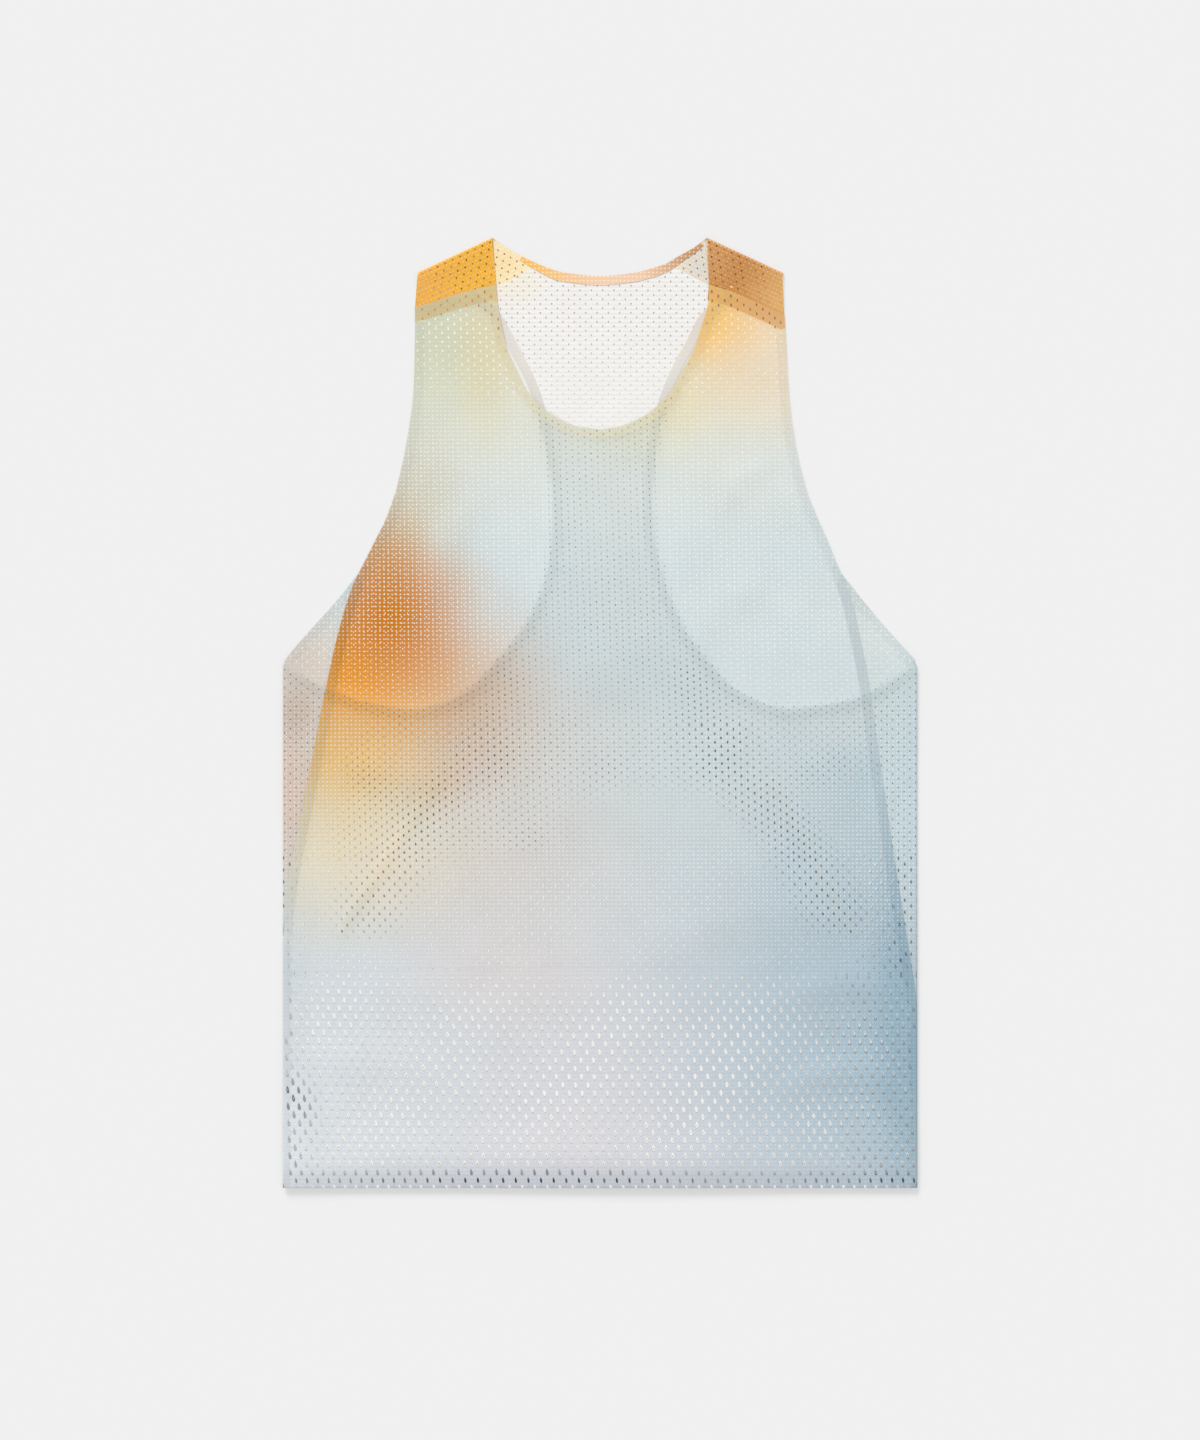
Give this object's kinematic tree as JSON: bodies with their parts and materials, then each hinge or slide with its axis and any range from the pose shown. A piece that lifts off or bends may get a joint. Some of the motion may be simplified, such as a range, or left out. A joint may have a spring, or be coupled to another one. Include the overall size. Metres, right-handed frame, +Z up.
{
  "type": "running singlet",
  "caption": "Sleeveless racerback running singlet of perforated knit, laid flat with the front up: scoop neck, folded shoulder yokes, straight hem and side panels wrapped from the back.",
  "frame": {"origin": "centre of the flat underside, where the singlet rests", "axes": "+Y runs from the hem to the neck, +X to the right seen from above, +Z up out of the front"},
  "size_m": [0.47, 0.7034, 0.0036],
  "materials": {
    "front_knit": "matt perforated polyester race knit, blurred pastel print from sage and pale yellow to pale blue with a warm orange patch at the left side",
    "back_knit": "same perforated knit: off-white on its inner face, blurred pastel print on its outer face",
    "yoke_left_knit": "perforated knit printed golden orange outside, cream inside",
    "yoke_right_knit": "perforated knit printed brown-orange outside, cream inside",
    "neck_hem_knit": "turned and bonded edge, printed face up, from yellow-orange through peach to tan",
    "armhole_hem_knit": "turned and bonded edge, flat grey-beige",
    "tape_knit": "narrow bonded tape, grey-beige"
  },
  "bodies": {
    "root": {"front_panel": "front_knit", "back_panel": "back_knit", "yoke_left": "yoke_left_knit", "yoke_right": "yoke_right_knit", "back_neck_hem": "neck_hem_knit", "back_armhole_hem_left": "armhole_hem_knit", "back_armhole_hem_right": "armhole_hem_knit", "back_tape_left": "tape_knit", "back_tape_right": "tape_knit"}
  },
  "joints": []
}
